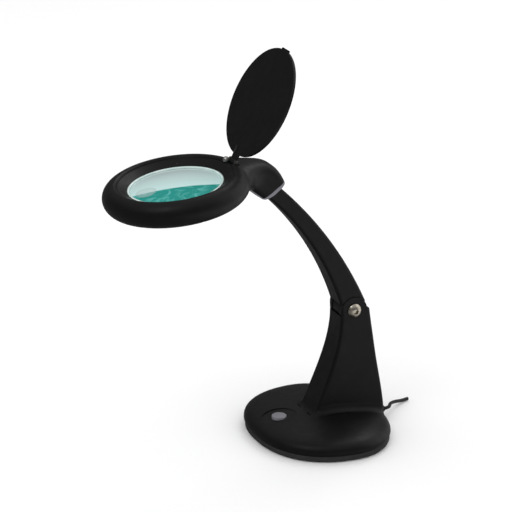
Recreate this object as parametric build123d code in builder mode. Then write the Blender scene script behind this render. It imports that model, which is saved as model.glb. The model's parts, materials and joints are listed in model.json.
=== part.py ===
from build123d import *
import os
from math import cos, radians, sin

os.makedirs("parts", exist_ok=True)

# Magnifying lamp on a weighted base. Millimetres, +Z up, the user sits on the -Y side.
# The origin is on the table, on the plane of symmetry x = 0, where the base is widest.

# General
THROUGH = 20.0
GAP = 0.15
WALL = 2.5
SCREW_SHANK = 1.5
SCREW_PILOT = 1.6
SCREW_HEAD = 3.2

# Base
BASE_HALF_WIDTH = 82.2
BASE_FRONT = 74.8
BASE_REAR = 61.0
FRONT_POWER = 2.26
REAR_POWER = 2.05
OUTLINE_STEPS = 28
# The dome from its lowest level up: height, inset all round, further inset at the rear
DOME_LEVELS = [
    (6.6, 1.1, 0.0),
    (8.4, 0.0, 0.3),
    (12.6, 0.3, 2.0),
    (16.0, 2.9, 3.6),
    (18.6, 8.2, 4.6),
    (20.5, 16.0, 5.0),
    (22.0, 26.0, 5.0),
    (23.2, 36.0, 4.0),
    (24.0, 45.0, 2.0),
    (24.5, 52.0, 0.5),
    (24.7, 57.0, 0.0),
]
FOOT_HEIGHT = 1.0
PLATE_TOP = 6.4
PLATE_FLOOR = 3.5
BALLAST_BOTTOM = 3.6
BALLAST_TOP = 13.1
BALLAST_INSET = 8.5
FEET = [(0, 0), (-38, -46), (38, -46), (-44, 34), (44, 34)]
COVER_SCREWS = [(-56, -20), (56, -20), (-30, 44), (30, 44)]
BOARD_CENTRE = (46, 6)
BOARD_SIZE = (26, 40)

# Switch
SWITCH_Y = -47.9
BUTTON_RADIUS = 7.3
BUTTON_TOP = 23.3
BUTTON_TRAVEL = 1.6
DISH_RADIUS = 17.5
DISH_HEIGHT = 21.1
DISH_SLOPE = 8.3

# Column and its fork
COLUMN_BOTTOM = 13.3
COLUMN_HALF_FOOT = 18.2
COLUMN_HALF_TOP = 14.6
PIVOT_Y = 25.2
PIVOT_Z = 126.1
EAR_RADIUS = 13.5
FORK_RADIUS = 14.1
FORK_HALF = 8.0
BOLT_RADIUS = 4.0
BOLT_HEAD_RADIUS = 7.0
BOLT_HOLE = 4.05
TONGUE_RADIUS = 13.0
TONGUE_HALF = 6.8
COLUMN_FRONT_EDGE = [
    (-20.8, COLUMN_BOTTOM),
    (-17.0, 23.5),
    (-7.7, 46.6),
    (5.1, 80.9),
    (9.3, 97.7),
    (11.6, PIVOT_Z - 5.0),
]
COLUMN_REAR_EDGE = [
    (PIVOT_Y + 17.2, PIVOT_Z - 0.6),
    (46.1, 99.8),
    (49.8, 73.9),
    (57.6, 24.0),
    (58.4, COLUMN_BOTTOM),
]
COLUMN_WALL = 3.0
COLUMN_SCREWS = [(13, 44), (20, 84)]
FOOT_SCREWS = [(-11, 4), (11, 4), (-11, 40), (11, 40)]

# Arm: its front and rear edges are arcs in the y-z plane
ARM_FRONT_CENTRE = (-260.9, 43.1)
ARM_FRONT_RADIUS = 286.9
ARM_REAR_CENTRE = (-319.8, -23.8)
ARM_REAR_RADIUS = 391.0
ARM_HALF_LOW = 14.0
ARM_HALF_TOP = 12.4
ARM_SEAT_RADIUS = 13.9

# Head: its frame leans forward, b runs back, h runs up from the lens rim
LENS_Y = -154.4
LENS_Z = 274.5
PITCH = 7.5
LENS_VISIBLE_RADIUS = 45.0
LENS_RADIUS = 46.6
LENS_EDGE = 3.0
LENS_SAG = 3.6
RING_CENTRE_RADIUS = 56.9
RING_CENTRE_HEIGHT = -5.5
RING_TUBE = 12.8
RING_BOTTOM = -17.6
RING_WALL = 2.2
LEDGE_INNER = (53.9, 5.2)
LEDGE_OUTER = (54.9, 5.2)
LENS_STOP = 1.2
PARTING = -12.0
BORE_RADIUS = 46.9
HOOD_HALF = 15.0
TILT_B = 86.0
TILT_H = -19.0
TILT_BARREL = 8.0
TILT_HALF = 11.0

# Lid
LID_RADIUS = 53.7
LID_THICKNESS = 2.5
LID_OPEN = 125.0
HINGE_B = 60.5
HINGE_H = 7.6
LID_UNDERSIDE = 5.9
HINGE_KNUCKLE = 2.5
HINGE_PIN = 1.2

# Fasteners, board and cord
SCREW_BOTTOM = 1.15
DOME_TOP = DOME_LEVELS[-1][0]
FOOT_RADIUS = 7.0
BOARD_HEIGHT = BALLAST_BOTTOM + 2.0
SWITCH_TOP = 14.8
PLUNGER_RADIUS = 2.5
BUTTON_DEPTH = 4.6
CORD_RADIUS = 1.7
CORD_HEIGHT = 10.2
RELIEF_RADIUS = 3.1
CORD_START = 55.0
CORD_POINTS = [
    (0, 67.0, CORD_HEIGHT),
    (-8.0, 77.0, 9.4),
    (-20.8, 91.5, 5.4),
    (-30.0, 108.0, 1.9),
]
CORD_END_DIRECTION = (-0.35, 1, 0)
CABLE_RADIUS = 2.2
PIVOT = (PIVOT_Y, PIVOT_Z)
COLUMN_ROUNDING = 3.2
FOOT_BLEND = 8.5
FOOT_BLEND_TOP = 40.0
SLOT_BOTTOM = 23.0
SLOT_HALF = 0.6
SLOT_LENGTH = 32.0
SLOT_X = 23.5
SLOT_Y = 10.0
FRONT_SLOT_LENGTH = 7.0
FRONT_SLOT_X = 11.0
FRONT_SLOT_Y = -21.5
COLUMN_SCREW_SEAT = 12.0
NUT_RADIUS = 7.5
NUT_INNER = 12.4
NUT_OUTER = 18.0
BOLT_HEAD = 4.4
SOCKET_RADIUS = 2.9
SOCKET_DEPTH = 2.5

# Arm
ARM_LOW = 133.5
ARM_HIGH = 256.0
ARM_WALL = 2.6
ARM_ROUNDING = 3.2
ARM_COVER = 2.2
ARM_COVER_HALF = 8.6
KNUCKLE_TOP = 162.0
KNUCKLE_NECK_HALF = 9.0
ARM_CABLE_POINTS = [(0, 7, 172), (0, -10, 200), (0, -33, 230)]

# Head fittings
HOOD_WALL = 2.2
HOOD_INSET = 3.4
HOOD_LOW = (80.5, -32.0)
ROOF_ROUNDING = 4.5
TRIM_START = (69.3, -20.3)
TRIM_FRONT = (60.0, -21.5)
TRIM_REAR = (107.0, -18.75)
HOOD_ROOM_ROOF = [
    (58.0, 3.4),
    (67.0, 3.2),
    (76.2, 1.6),
    (87.2, -1.8),
    (96.0, -8.8),
    (102.4, -20.7),
]
HOOD_ROOM_FLOOR = [
    (103.0, -20.7),
    (104.3, -23.4),
    (83.4, -33.9),
    (82.1, -31.2),
    (80.9, -29.1),
    (71.5, -19.2),
    (62.0, -15.3),
    (58.0, -13.9),
]
# The hood from the ring back: lowest point, highest point, half width, squareness
HOOD_SECTIONS = [
    ((56.0, -17.2), (57.0, 6.8), 36.0, 2.2),
    ((63.0, -18.6), (67.0, 6.0), 28.5, 2.4),
    ((68.0, -21.2), (77.0, 4.2), 21.0, 2.8),
    ((72.6, -26.0), (89.0, 0.6), 16.4, 3.4),
    ((77.0, -30.6), (98.5, -7.0), 15.2, 4.2),
    ((80.6, -33.9), (104.6, -20.2), 15.0, 5.0),
    ((82.2, -36.0), (105.6, -23.6), 14.6, 5.0),
]
TILT = (TILT_B, TILT_H)
AXLE_RADIUS = 2.5
AXLE_HALF = 14.0
POST_RADIUS = 2.8
HEAD_PILOT = 1.1
HEAD_SCREW_HEAD = 2.0
HEAD_SCREW_CIRCLE = 61.6
HEAD_SCREWS = [
    (HEAD_SCREW_CIRCLE * sin(radians(a)), HEAD_SCREW_CIRCLE * cos(radians(a)))
    for a in (38, 90, 142, 218, 270, 322)
]
LENS_TOP = -1.55
LENS_SPHERE = (LENS_RADIUS**2 + LENS_SAG**2) / (2 * LENS_SAG)
LENS_HALFWAY = (LENS_SPHERE**2 - (LENS_RADIUS / 2) ** 2) ** 0.5 - LENS_SPHERE + LENS_SAG
BIFOCAL_OFFSET = 29.5
BIFOCAL_RADIUS = 10.5
LED_HEIGHT = -9.4
LED_RING_RADIUS = 54.0
LED_COUNT = 30
WINDOW_INNER = 50.6
WINDOW_OUTER = 58.4

# Hinge fittings
BRACKET_HALF = 8.2
BRACKET_EAR = 3.0
BRACKET_LOW = 3.1
BRACKET_SPAN = (58.0, 63.0)
HINGE = (HINGE_B, HINGE_H)
LEAF_HALF = 5.0
WING = 13.0
WING_TOP = 5.9
HINGE_SCREW = (-10.6, 57.2)
HINGE_SCREW_SHANK = 0.9
HINGE_SCREW_HEAD = 2.2
TAB_WIDTH = 16.0
TAB_REACH = 1.3
TAB_THICKNESS = 0.8

# Planes
side = Plane.YZ
head = Plane(
    origin=(0, LENS_Y, LENS_Z),
    x_dir=(1, 0, 0),
    z_dir=(0, -sin(radians(PITCH)), cos(radians(PITCH))),
)
head_side = Plane(
    origin=(0, LENS_Y, LENS_Z),
    x_dir=(0, cos(radians(PITCH)), sin(radians(PITCH))),
    z_dir=(1, 0, 0),
)
head_axis = Axis(head.origin, head.z_dir)
switch_dish = Plane(
    origin=(0, SWITCH_Y, DISH_HEIGHT),
    x_dir=(1, 0, 0),
    z_dir=(0, -sin(radians(DISH_SLOPE)), cos(radians(DISH_SLOPE))),
)
hinge_origin = head.from_local_coords(Vector(0, HINGE_B, HINGE_H))
lid_angle = radians(PITCH - LID_OPEN)
lid = Plane(origin=hinge_origin, x_dir=(1, 0, 0), z_dir=(0, -sin(lid_angle), cos(lid_angle)))
lid_side = Plane(
    origin=hinge_origin, x_dir=(0, cos(lid_angle), sin(lid_angle)), z_dir=(1, 0, 0)
)


def save(builder, name):
    builder.part.label = name
    export_step(builder.part, f"parts/{name}.step")


def signed_power(value, power):
    return abs(value) ** power if value >= 0 else -(abs(value) ** power)


def base_points(inset, rear_inset=0.0):
    """Points on the base's outline, a superellipse with a longer front half."""
    points = []
    for step in range(OUTLINE_STEPS):
        angle = radians(360 * step / OUTLINE_STEPS)
        rear = sin(angle) >= 0
        length = (BASE_REAR - rear_inset if rear else BASE_FRONT) - inset
        power = 2 / (REAR_POWER if rear else FRONT_POWER)
        x = (BASE_HALF_WIDTH - inset) * signed_power(cos(angle), power)
        points.append((x, length * signed_power(sin(angle), power)))
    return points


def oval_points(half_width, half_length, power):
    """Points on a superellipse, which is squarer for a higher power."""
    points = []
    for step in range(OUTLINE_STEPS):
        angle = radians(360 * step / OUTLINE_STEPS)
        x = half_width * signed_power(cos(angle), 2 / power)
        points.append((x, half_length * signed_power(sin(angle), 2 / power)))
    return points


def base_slab(inset, bottom, top):
    """A flat slab with the base's outline."""
    with BuildPart(mode=Mode.PRIVATE) as slab:
        with BuildSketch(Plane.XY.offset(bottom)):
            with BuildLine():
                Spline(*base_points(inset), periodic=True)
            make_face()
        extrude(amount=top - bottom)
    return slab.part


def base_dome(inset):
    """The domed form of the base cover, or of its hollow when inset is not zero."""
    with BuildPart(mode=Mode.PRIVATE) as dome:
        for height, narrower, shorter in DOME_LEVELS:
            with BuildSketch(Plane.XY.offset(height - inset)):
                with BuildLine():
                    Spline(*base_points(narrower + inset, shorter), periodic=True)
                make_face()
        loft()
    return dome.part


def rods(places, radius, bottom, top):
    """Upright cylinders at the given places."""
    with BuildPart(mode=Mode.PRIVATE) as group:
        with BuildSketch(Plane.XY.offset(bottom)):
            with Locations(*places):
                Circle(radius)
        extrude(amount=top - bottom)
    return group.part


def side_rod(plane, place, radius, start, end):
    """A cylinder along x, from start to end, at a place of a side plane."""
    with BuildPart(mode=Mode.PRIVATE) as rod:
        with BuildSketch(plane.offset(start)):
            with Locations(place):
                Circle(radius)
        extrude(amount=end - start)
    return rod.part


def column_form(inset):
    """The column with its rounded top, or its hollow when inset is not zero."""
    with BuildPart(mode=Mode.PRIVATE) as form:
        with BuildSketch(side):
            with BuildLine():
                front = Spline(*[(y + inset, z) for y, z in COLUMN_FRONT_EDGE])
                rear = Spline(*[(y - inset, z) for y, z in COLUMN_REAR_EDGE])
                Line(front @ 1, rear @ 0)
                Line(rear @ 1, front @ 0)
            make_face()
            if inset == 0:
                with Locations(PIVOT):
                    Circle(EAR_RADIUS)
        extrude(amount=COLUMN_HALF_FOOT, both=True)
        with BuildSketch(Plane.XZ):
            with BuildLine():
                Polyline(
                    (-COLUMN_HALF_FOOT + inset, COLUMN_BOTTOM),
                    (COLUMN_HALF_FOOT - inset, COLUMN_BOTTOM),
                    (COLUMN_HALF_TOP - inset, PIVOT_Z - EAR_RADIUS),
                    (COLUMN_HALF_TOP - inset, PIVOT_Z + EAR_RADIUS + 1),
                    (-COLUMN_HALF_TOP + inset, PIVOT_Z + EAR_RADIUS + 1),
                    (-COLUMN_HALF_TOP + inset, PIVOT_Z - EAR_RADIUS),
                    close=True,
                )
            make_face()
        extrude(amount=90, both=True, mode=Mode.INTERSECT)
    return form.part


def arm_profile(inset, start_z, end_z):
    """A face between the arm's front and rear arcs, from one height to another."""
    def on_front(z):
        reach = (ARM_FRONT_RADIUS + inset) ** 2 - (z - ARM_FRONT_CENTRE[1]) ** 2
        return (ARM_FRONT_CENTRE[0] + reach**0.5, z)

    def on_rear(z):
        reach = (ARM_REAR_RADIUS - inset) ** 2 - (z - ARM_REAR_CENTRE[1]) ** 2
        return (ARM_REAR_CENTRE[0] + reach**0.5, z)

    top_rear = end_z + 6.5
    with BuildSketch(side, mode=Mode.PRIVATE) as profile:
        with BuildLine():
            front = ThreePointArc(
                on_front(start_z), on_front((start_z + end_z) / 2), on_front(end_z)
            )
            rear = ThreePointArc(
                on_rear(top_rear), on_rear((start_z + top_rear) / 2), on_rear(start_z)
            )
            Line(front @ 1, rear @ 0)
            Line(rear @ 1, front @ 0)
        make_face()
    return profile.sketch


def ring_profile():
    """The closed section of the head's ring, in the head's side plane."""
    crest = (RING_CENTRE_RADIUS + 0.6, RING_CENTRE_HEIGHT + RING_TUBE - 0.02)
    slant = RING_TUBE * cos(radians(45))
    with BuildSketch(head_side, mode=Mode.PRIVATE) as section:
        with BuildLine():
            cone = Polyline((LENS_VISIBLE_RADIUS, 0), LEDGE_INNER, LEDGE_OUTER)
            lip = ThreePointArc(cone @ 1, (55.7, 6.3), crest)
            outer = ThreePointArc(
                lip @ 1,
                (RING_CENTRE_RADIUS + slant, RING_CENTRE_HEIGHT + slant),
                (RING_CENTRE_RADIUS + RING_TUBE, RING_CENTRE_HEIGHT),
            )
            under = ThreePointArc(outer @ 1, (66.9, -13.2), (60.4, RING_BOTTOM))
            Polyline(
                under @ 1,
                (BORE_RADIUS, RING_BOTTOM),
                (BORE_RADIUS, -LENS_STOP),
                (LENS_VISIBLE_RADIUS, -LENS_STOP),
                cone @ 0,
            )
        make_face()
    return section.sketch


def ring_hollow_profile():
    """The section of the space inside the ring."""
    tube = RING_TUBE - RING_WALL
    slant = tube * cos(radians(45))
    with BuildSketch(head_side, mode=Mode.PRIVATE) as section:
        with BuildLine():
            roof = Polyline((48.9, -14.5), (48.9, 0.2), (53.0, 2.8), (56.6, 4.4))
            outer = ThreePointArc(
                roof @ 1,
                (RING_CENTRE_RADIUS + slant, RING_CENTRE_HEIGHT + slant),
                (RING_CENTRE_RADIUS + tube, RING_CENTRE_HEIGHT),
            )
            under = ThreePointArc(outer @ 1, (64.4, -11.3), (60.0, -14.5))
            Line(under @ 1, roof @ 0)
        make_face()
    return section.sketch


def turned(section):
    """A ring made by turning a section about the lens axis."""
    with BuildPart(mode=Mode.PRIVATE) as ring:
        add(section)
        revolve(axis=head_axis)
    return ring.part


def head_rods(places, radius, bottom, top):
    """Cylinders along the lens axis."""
    with BuildPart(mode=Mode.PRIVATE) as group:
        with BuildSketch(head.offset(bottom)):
            with Locations(*places):
                Circle(radius)
        extrude(amount=top - bottom)
    return group.part


def head_block(x_range, b_range, h_range):
    """A block given by its limits in the head's frame."""
    with BuildPart(mode=Mode.PRIVATE) as block:
        with BuildSketch(head.offset(h_range[0])):
            with Locations(((x_range[0] + x_range[1]) / 2, (b_range[0] + b_range[1]) / 2)):
                Rectangle(x_range[1] - x_range[0], b_range[1] - b_range[0])
        extrude(amount=h_range[1] - h_range[0])
    return block.part


def hood_form(inset):
    """The hood behind the ring, which bends down to a slanting end, or its hollow."""
    with BuildPart(mode=Mode.PRIVATE) as hood:
        for low, high, half_width, power in HOOD_SECTIONS:
            across = Vector(0, high[0] - low[0], high[1] - low[1])
            middle = Vector(0, (high[0] + low[0]) / 2, (high[1] + low[1]) / 2)
            section = Plane(
                origin=head.from_local_coords(middle),
                x_dir=(1, 0, 0),
                z_dir=head.from_local_coords(Vector(0, -across.Z, across.Y)) - head.origin,
            )
            with BuildSketch(section):
                with BuildLine():
                    half_length = across.length / 2 - inset
                    Spline(*oval_points(half_width - inset, half_length, power), periodic=True)
                make_face()
        loft()
    return hood.part


def hood_room():
    """The room for the arm's end inside the hood, which runs out through its open end."""
    with BuildPart(mode=Mode.PRIVATE) as room:
        with BuildSketch(head_side):
            with BuildLine():
                top = Spline(*HOOD_ROOM_ROOF)
                Polyline(top @ 1, *HOOD_ROOM_FLOOR, top @ 0)
            make_face()
        extrude(amount=HOOD_HALF - HOOD_WALL, both=True)
        fillet(room.edges().filter_by(is_roof_corner), ROOF_ROUNDING)
    return room.part


def neck_trim_form(thick):
    """A band along the hood's underside and open end: the trim, or all beyond it."""
    with BuildPart(mode=Mode.PRIVATE) as band:
        with BuildSketch(head_side):
            with BuildLine():
                inner = Polyline(TRIM_START, HOOD_LOW, TRIM_REAR)
                if thick:
                    Polyline(inner @ 1, (115.0, -30.0), (80.0, -48.0), TRIM_FRONT, inner @ 0)
                else:
                    rear = Line(inner @ 1, (105.2, -21.3))
                    end = ThreePointArc(rear @ 1, (94.1, -29.1), (81.2, -33.6))
                    Polyline(end @ 1, (79.5, -35.5), (70.0, -26.5), TRIM_FRONT, inner @ 0)
            make_face()
        extrude(amount=2 * HOOD_HALF, both=True)
    return band.part


def bore_profile():
    """The section of the round opening through the head."""
    with BuildSketch(head_side, mode=Mode.PRIVATE) as section:
        with BuildLine():
            Polyline(
                (0, 10),
                (58, 10),
                LEDGE_OUTER,
                LEDGE_INNER,
                (LENS_VISIBLE_RADIUS, 0),
                (LENS_VISIBLE_RADIUS, -LENS_STOP),
                (BORE_RADIUS, -LENS_STOP),
                (BORE_RADIUS, -THROUGH),
                (0, -THROUGH),
                close=True,
            )
        make_face()
    return section.sketch


def rear_rod(radius, start, end):
    """A cylinder along y at the height where the cord leaves the base."""
    with BuildPart(mode=Mode.PRIVATE) as rod:
        with BuildSketch(Plane.XZ.offset(-start)):
            with Locations((0, CORD_HEIGHT)):
                Circle(radius)
        extrude(amount=start - end)
    return rod.part


def is_column_corner(edge):
    """The column's upright corners, front and rear, on both sides."""
    middle = edge.center()
    upright = edge.length > 60
    return upright and abs(middle.X) > 10 and middle.Z > COLUMN_BOTTOM + 2


def is_roof_corner(edge):
    """The long upper corners of the hood's room."""
    return edge.length > 45 and abs(edge.center().X) > 10


def is_foot_edge(edge):
    """The edges where the column's foot rises out of the dome."""
    middle = edge.center()
    return 20 < middle.Z < 30 and abs(middle.X) < 25 and -30 < middle.Y < BASE_REAR


def is_arm_corner(edge):
    """The arm's long curved corners."""
    return edge.length > 60 and abs(edge.center().X) > 10


def arm_taper(inset):
    """The arm's outline from the front, narrower at the top, as a block along y."""
    with BuildPart(mode=Mode.PRIVATE) as block:
        with BuildSketch(Plane.XZ):
            with BuildLine():
                Polyline(
                    (-ARM_HALF_LOW + inset, ARM_LOW - 10),
                    (ARM_HALF_LOW - inset, ARM_LOW - 10),
                    (ARM_HALF_TOP - inset, ARM_HIGH - 12),
                    (ARM_HALF_TOP - inset, ARM_HIGH + 20),
                    (-ARM_HALF_TOP + inset, ARM_HIGH + 20),
                    (-ARM_HALF_TOP + inset, ARM_HIGH - 12),
                    close=True,
                )
            make_face()
        extrude(amount=120, both=True)
    return block.part


# ---- Base -------------------------------------------------------------------------------------

dome_form = base_dome(0)
dome_hollow = base_dome(WALL)
column_inner = column_form(COLUMN_WALL)

with BuildPart() as cover_bosses:
    add(rods(COVER_SCREWS, 4.0, PLATE_FLOOR + 0.1, DOME_TOP))
    add(rods([(0, SWITCH_Y)], BUTTON_RADIUS + 2.3, 15.0, DOME_TOP))
    add(dome_form, mode=Mode.INTERSECT)

with BuildPart() as column_body:
    add(column_form(0))
    fillet(column_body.edges().filter_by(is_column_corner), COLUMN_ROUNDING)

with BuildPart() as column_foot:
    add(column_body)
    split(bisect_by=Plane.XY.offset(FOOT_BLEND_TOP), keep=Keep.BOTTOM)

with BuildPart() as base_cover:
    add(dome_form)
    add(column_foot)
    fillet(base_cover.edges().filter_by(is_foot_edge), FOOT_BLEND)
    add(dome_hollow, mode=Mode.SUBTRACT)
    add(cover_bosses)
    add(column_foot, mode=Mode.SUBTRACT)
    with BuildSketch(switch_dish):
        Circle(DISH_RADIUS)
    extrude(amount=DISH_RADIUS, mode=Mode.SUBTRACT)
    with BuildSketch(Plane.XY.offset(SLOT_BOTTOM)):
        with Locations((-SLOT_X, SLOT_Y), (SLOT_X, SLOT_Y)):
            Rectangle(2 * SLOT_HALF, SLOT_LENGTH)
        with Locations((-FRONT_SLOT_X, FRONT_SLOT_Y), (FRONT_SLOT_X, FRONT_SLOT_Y)):
            Rectangle(FRONT_SLOT_LENGTH, 2 * SLOT_HALF)
    extrude(amount=SLOT_LENGTH, mode=Mode.SUBTRACT)
    add(rods(COVER_SCREWS, SCREW_PILOT, PLATE_FLOOR - 1, 14), mode=Mode.SUBTRACT)
    add(rods([(0, SWITCH_Y)], BUTTON_RADIUS + GAP, 10, 30), mode=Mode.SUBTRACT)
    add(rear_rod(RELIEF_RADIUS + 0.02, 50, 70), mode=Mode.SUBTRACT)
save(base_cover, "base_cover")

with BuildPart() as base_plate:
    add(base_slab(1.1, FOOT_HEIGHT, PLATE_TOP))
    chamfer(base_plate.faces().sort_by(Axis.Z)[0].edges(), 0.8)
    add(base_slab(5.0, PLATE_FLOOR, PLATE_TOP + 1), mode=Mode.SUBTRACT)
    add(rods(FEET, FOOT_RADIUS, 0, 2.0), mode=Mode.SUBTRACT)
    add(rods(COVER_SCREWS + FOOT_SCREWS, SCREW_SHANK + 0.3, 0, 5), mode=Mode.SUBTRACT)
    add(rods(COVER_SCREWS + FOOT_SCREWS, SCREW_HEAD + 0.3, 0, 2.2), mode=Mode.SUBTRACT)
save(base_plate, "base_plate")

with BuildPart() as ballast_weight:
    add(base_slab(BALLAST_INSET, BALLAST_BOTTOM, BALLAST_TOP))
    add(rods(COVER_SCREWS, 4.6, 0, 20), mode=Mode.SUBTRACT)
    add(rods(FOOT_SCREWS, SCREW_SHANK + 0.4, 0, 20), mode=Mode.SUBTRACT)
    add(rods([(0, SWITCH_Y)], 12.0, 0, 20), mode=Mode.SUBTRACT)
    with BuildSketch(Plane.XY.offset(BALLAST_BOTTOM - 1)):
        with Locations(BOARD_CENTRE):
            Rectangle(BOARD_SIZE[0] + 4, BOARD_SIZE[1] + 4)
    extrude(amount=20, mode=Mode.SUBTRACT)
save(ballast_weight, "ballast_weight")

with BuildPart() as rubber_feet:
    add(rods(FEET, FOOT_RADIUS - 0.05, 0, 1.98))
    chamfer(rubber_feet.faces().group_by(Axis.Z)[0].edges(), 0.5)
save(rubber_feet, "rubber_feet")

with BuildPart() as base_cover_screws:
    add(rods(COVER_SCREWS, SCREW_HEAD, SCREW_BOTTOM, SCREW_BOTTOM + 1.0))
    add(rods(COVER_SCREWS, SCREW_SHANK, SCREW_BOTTOM, 13.0))
save(base_cover_screws, "base_cover_screws")

with BuildPart() as column_foot_screws:
    add(rods(FOOT_SCREWS, SCREW_HEAD, SCREW_BOTTOM, SCREW_BOTTOM + 1.0))
    add(rods(FOOT_SCREWS, SCREW_SHANK, SCREW_BOTTOM, 24.0))
save(column_foot_screws, "column_foot_screws")

with BuildPart() as driver_board:
    with BuildSketch(Plane.XY.offset(BOARD_HEIGHT)):
        with Locations(BOARD_CENTRE):
            Rectangle(*BOARD_SIZE)
    extrude(amount=1.6)
    with BuildSketch(Plane.XY.offset(BOARD_HEIGHT + 1.6)):
        with Locations((BOARD_CENTRE[0] - 5, BOARD_CENTRE[1] - 9)):
            Rectangle(12, 14)
        with Locations((BOARD_CENTRE[0] + 5, BOARD_CENTRE[1] + 8)):
            Circle(4)
        with Locations((BOARD_CENTRE[0] - 7, BOARD_CENTRE[1] + 9)):
            Rectangle(5, 8)
    extrude(amount=5.0)
    with BuildSketch(Plane.XY.offset(PLATE_FLOOR)):
        with Locations(BOARD_CENTRE):
            with GridLocations(BOARD_SIZE[0] - 6, BOARD_SIZE[1] - 6, 2, 2):
                Circle(2)
    extrude(amount=BOARD_HEIGHT - PLATE_FLOOR)
save(driver_board, "driver_board")

with BuildPart() as cord_relief:
    add(rear_rod(RELIEF_RADIUS, 58.5, 66.5))
    fillet(cord_relief.faces().sort_by(Axis.Y)[-1].edges(), 0.8)
    add(rear_rod(CORD_RADIUS + 0.05, 50, 80), mode=Mode.SUBTRACT)
save(cord_relief, "cord_relief")

with BuildPart() as power_cord:
    with BuildLine() as cord_path:
        Line((0, CORD_START, CORD_HEIGHT), CORD_POINTS[0])
        Spline(*CORD_POINTS, tangents=[(0, 1, 0), CORD_END_DIRECTION])
    with BuildSketch(Plane.XZ.offset(-CORD_START)):
        with Locations((0, CORD_HEIGHT)):
            Circle(CORD_RADIUS)
    sweep(path=cord_path.wires()[0])
save(power_cord, "power_cord")

# ---- Switch -----------------------------------------------------------------------------------

with BuildPart() as switch_body:
    with BuildSketch(Plane.XY.offset(PLATE_FLOOR)):
        with Locations((0, SWITCH_Y)):
            RectangleRounded(14, 14, 1.5)
    extrude(amount=SWITCH_TOP - PLATE_FLOOR)
    plunger_hole = rods([(0, SWITCH_Y)], PLUNGER_RADIUS + 0.06, SWITCH_TOP - 5, SWITCH_TOP + 1)
    add(plunger_hole, mode=Mode.SUBTRACT)
save(switch_body, "switch_body")

with BuildPart() as switch_button:
    add(rods([(0, SWITCH_Y)], BUTTON_RADIUS, BUTTON_TOP - BUTTON_DEPTH, BUTTON_TOP))
    fillet(switch_button.faces().sort_by(Axis.Z)[-1].edges(), 1.0)
    add(rods([(0, SWITCH_Y)], PLUNGER_RADIUS, SWITCH_TOP - 2.4, BUTTON_TOP - BUTTON_DEPTH))
save(switch_button, "switch_button")

# ---- Column -----------------------------------------------------------------------------------

with BuildPart() as column_room:
    add(column_inner)
    split(bisect_by=Plane.XY.offset(PIVOT_Z - FORK_RADIUS - 4.0), keep=Keep.BOTTOM)
    add(rods(FOOT_SCREWS, 4.0, COLUMN_BOTTOM - 1, 28), mode=Mode.SUBTRACT)
    for place in COLUMN_SCREWS:
        add(side_rod(side, place, 4.2, -THROUGH, THROUGH), mode=Mode.SUBTRACT)

with BuildPart() as column_shell:
    add(column_body)
    add(column_room, mode=Mode.SUBTRACT)
    add(side_rod(side, PIVOT, FORK_RADIUS, -FORK_HALF, FORK_HALF), mode=Mode.SUBTRACT)
    add(side_rod(side, PIVOT, BOLT_HOLE, -THROUGH, THROUGH), mode=Mode.SUBTRACT)
    with BuildSketch(side.offset(-NUT_INNER)):
        with Locations(PIVOT):
            RegularPolygon(NUT_RADIUS + 0.1, 6)
    extrude(amount=-10, mode=Mode.SUBTRACT)
    add(rods(FOOT_SCREWS, SCREW_PILOT, COLUMN_BOTTOM - 1, 25), mode=Mode.SUBTRACT)
    for place in COLUMN_SCREWS:
        add(side_rod(side, place, SCREW_PILOT, -20, 10), mode=Mode.SUBTRACT)
        add(side_rod(side, place, SCREW_HEAD + 0.2, -20, -COLUMN_SCREW_SEAT), mode=Mode.SUBTRACT)

with BuildPart() as column_left:
    add(column_shell)
    split(bisect_by=Plane.YZ, keep=Keep.BOTTOM)
save(column_left, "column_left")

with BuildPart() as column_right:
    add(column_shell)
    split(bisect_by=Plane.YZ, keep=Keep.TOP)
save(column_right, "column_right")

with BuildPart() as column_screws:
    for place in COLUMN_SCREWS:
        add(side_rod(side, place, SCREW_SHANK, -COLUMN_SCREW_SEAT - 1.0, 9))
        add(side_rod(side, place, SCREW_HEAD, -COLUMN_SCREW_SEAT - 1.8, -COLUMN_SCREW_SEAT))
save(column_screws, "column_screws")

with BuildPart() as column_cable:
    with BuildLine() as column_cable_path:
        Spline((0, 32, 14), (0, 31, 60), (0, 28, 106))
    with BuildSketch(Plane.XY.offset(14)):
        with Locations((0, 32)):
            Circle(CABLE_RADIUS)
    sweep(path=column_cable_path.wires()[0])
save(column_cable, "column_cable")

with BuildPart() as pivot_bolt:
    add(side_rod(side, PIVOT, BOLT_RADIUS, -NUT_OUTER - 0.6, COLUMN_HALF_TOP + 1))
    with BuildSketch(Plane.XZ.offset(-PIVOT_Y)):
        with BuildLine():
            dome = ThreePointArc(
                (COLUMN_HALF_TOP + BOLT_HEAD, PIVOT_Z),
                (COLUMN_HALF_TOP + BOLT_HEAD - 0.9, PIVOT_Z + 4.2),
                (COLUMN_HALF_TOP + 0.9, PIVOT_Z + BOLT_HEAD_RADIUS),
            )
            Polyline(
                dome @ 1,
                (COLUMN_HALF_TOP, PIVOT_Z + BOLT_HEAD_RADIUS),
                (COLUMN_HALF_TOP, PIVOT_Z),
                dome @ 0,
            )
        make_face()
    revolve(axis=Axis((0, PIVOT_Y, PIVOT_Z), (1, 0, 0)))
    with BuildSketch(side.offset(COLUMN_HALF_TOP + BOLT_HEAD + 1)):
        with Locations(PIVOT):
            RegularPolygon(SOCKET_RADIUS, 6)
    extrude(amount=-SOCKET_DEPTH - 1, mode=Mode.SUBTRACT)
save(pivot_bolt, "pivot_bolt")

with BuildPart() as pivot_nut:
    with BuildSketch(side.offset(-NUT_INNER - 0.05)):
        with Locations(PIVOT):
            RegularPolygon(NUT_RADIUS, 6)
            Circle(BOLT_HOLE, mode=Mode.SUBTRACT)
    extrude(amount=NUT_INNER - NUT_OUTER)
save(pivot_nut, "pivot_nut")

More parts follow.
